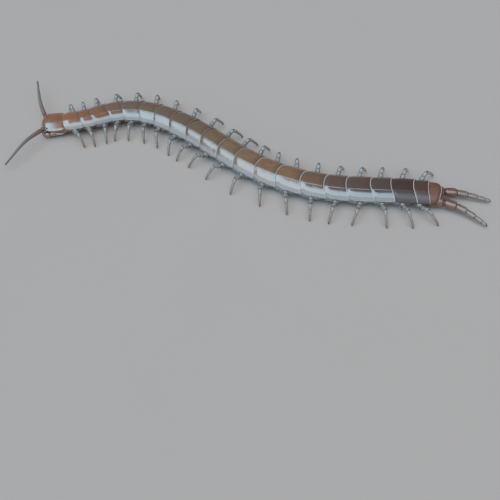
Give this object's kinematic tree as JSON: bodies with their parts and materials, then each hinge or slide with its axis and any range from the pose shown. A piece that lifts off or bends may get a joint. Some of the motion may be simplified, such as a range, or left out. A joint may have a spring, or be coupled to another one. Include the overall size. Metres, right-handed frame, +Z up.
{
  "type": "giant centipede",
  "caption": "Still life-size giant centipede walking with its long plated body in an S bend, legs splayed to the floor, feelers spread, last legs held out behind.",
  "frame": {"origin": "on the floor under the middle of the whole animal's outline in plan", "axes": "+Z up, the head towards -X and the tail towards +X, the animal's left side towards -Y"},
  "size_m": [0.076, 0.0302, 0.0033],
  "materials": {
    "head_shell": "smooth glossy cuticle, orange-red to red-brown",
    "body_shell": "glossy tan-brown to red-brown back plates with paler rear edges",
    "flank_skin": "soft wrinkled grey-blue membrane of the flanks and between the plates",
    "leg_shell": "pale, slightly see-through glossy cuticle",
    "last_leg_shell": "glossy red-brown cuticle, paler to the tips",
    "feelers": "fine-haired satin cuticle, orange-brown",
    "fang_shell": "hard glossy red-brown cuticle with dark tips",
    "claw_tips": "hard black-brown glossy claw",
    "eyes": "glossy black simple eyes"
  },
  "bodies": {
    "root": {"head": "head_shell", "forcipule_base": "fang_shell", "forcipule_left": "fang_shell", "forcipule_right": "fang_shell", "antenna_left": "feelers", "antenna_right": "feelers", "trunk_1": "body_shell", "trunk_2": "body_shell", "trunk_3": "body_shell", "trunk_4": "body_shell", "trunk_5": "body_shell", "trunk_6": "body_shell", "trunk_7": "body_shell", "leg_left_01": "leg_shell", "leg_left_02": "leg_shell", "leg_left_03": "leg_shell", "leg_left_04": "leg_shell", "leg_left_05": "leg_shell", "leg_left_06": "leg_shell", "leg_left_07": "leg_shell", "leg_left_08": "leg_shell", "leg_left_09": "leg_shell", "leg_left_10": "leg_shell", "leg_left_11": "leg_shell", "leg_left_12": "leg_shell", "leg_left_13": "leg_shell", "leg_left_14": "leg_shell", "leg_left_15": "leg_shell", "leg_left_16": "leg_shell", "leg_left_17": "leg_shell", "leg_left_18": "leg_shell", "leg_left_19": "leg_shell", "leg_left_20": "leg_shell", "leg_right_01": "leg_shell", "leg_right_02": "leg_shell", "leg_right_03": "leg_shell", "leg_right_04": "leg_shell", "leg_right_05": "leg_shell", "leg_right_06": "leg_shell", "leg_right_07": "leg_shell", "leg_right_08": "leg_shell", "leg_right_09": "leg_shell", "leg_right_10": "leg_shell", "leg_right_11": "leg_shell", "leg_right_12": "leg_shell", "leg_right_13": "leg_shell", "leg_right_14": "leg_shell", "leg_right_15": "leg_shell", "leg_right_16": "leg_shell", "leg_right_17": "leg_shell", "leg_right_18": "leg_shell", "leg_right_19": "leg_shell", "leg_right_20": "leg_shell", "leg_left_21": "last_leg_shell", "leg_right_21": "last_leg_shell"}
  },
  "joints": []
}
